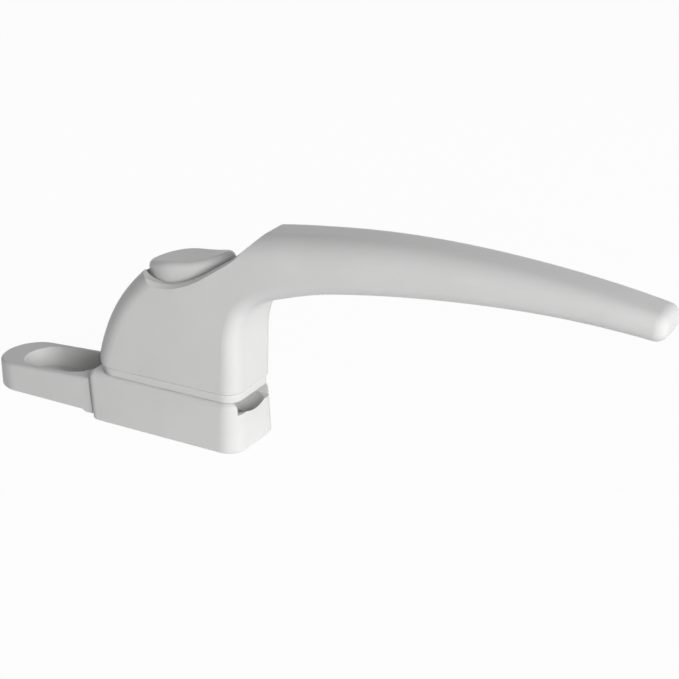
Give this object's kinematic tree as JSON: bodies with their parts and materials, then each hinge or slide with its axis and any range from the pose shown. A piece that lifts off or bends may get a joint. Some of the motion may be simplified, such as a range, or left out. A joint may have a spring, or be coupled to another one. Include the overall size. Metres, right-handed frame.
{
  "type": "window handle",
  "caption": "Locking window handle: white cast grip on a tall hub with an oval push-button, turning on a rectangular base block that carries a fixing lug with a deep screw pocket.",
  "frame": {"origin": "where the turning axis of the grip meets the mounting face under the base block", "axes": "+X along the grip at rest, +Y to the rear, +Z away from the window sash along the turning axis"},
  "size_m": [0.1764, 0.0194, 0.0592],
  "materials": {
    "white_coat": "semi-gloss white powder coat on a zinc casting",
    "white_plastic": "satin white moulded plastic",
    "zinc_steel": "bright zinc plate",
    "screw_steel": "bright zinc plate, cross recess",
    "spring_steel": "plain spring steel",
    "dark_screw": "black oxide",
    "nylon": "natural nylon"
  },
  "bodies": {
    "base": {"base_block": "white_coat", "fixing_lug": "white_coat", "base_plate": "zinc_steel", "plate_screw_front": "screw_steel", "plate_screw_rear": "screw_steel", "bearing_bush": "nylon", "index_leaf_front": "spring_steel", "index_leaf_rear": "spring_steel"},
    "lever": {"lever_handle": "white_coat", "collar_plate": "white_coat", "drive_sleeve": "zinc_steel", "thrust_washer": "spring_steel", "hub_grub_screw": "dark_screw", "button_spring": "spring_steel"},
    "button": {"push_button": "white_plastic", "button_stem": "zinc_steel", "lock_carrier": "zinc_steel", "lock_pin": "zinc_steel", "stem_clip": "spring_steel"}
  },
  "joints": [
    {"name": "lever_turn", "type": "hinge", "parent": "base", "child": "lever", "pos_m": [0, 0, 0.0128], "axis": [0, 0, 1], "range_deg": [0, 90], "deforming": ["index_leaf_front", "index_leaf_rear"]},
    {"name": "button_press", "type": "slide", "parent": "lever", "child": "button", "axis": [0, 0, -1], "range_m": [0, 0.0025], "stiffness_N_per_m": 800, "springref_m": -0.0015, "deforming": ["button_spring"]}
  ]
}
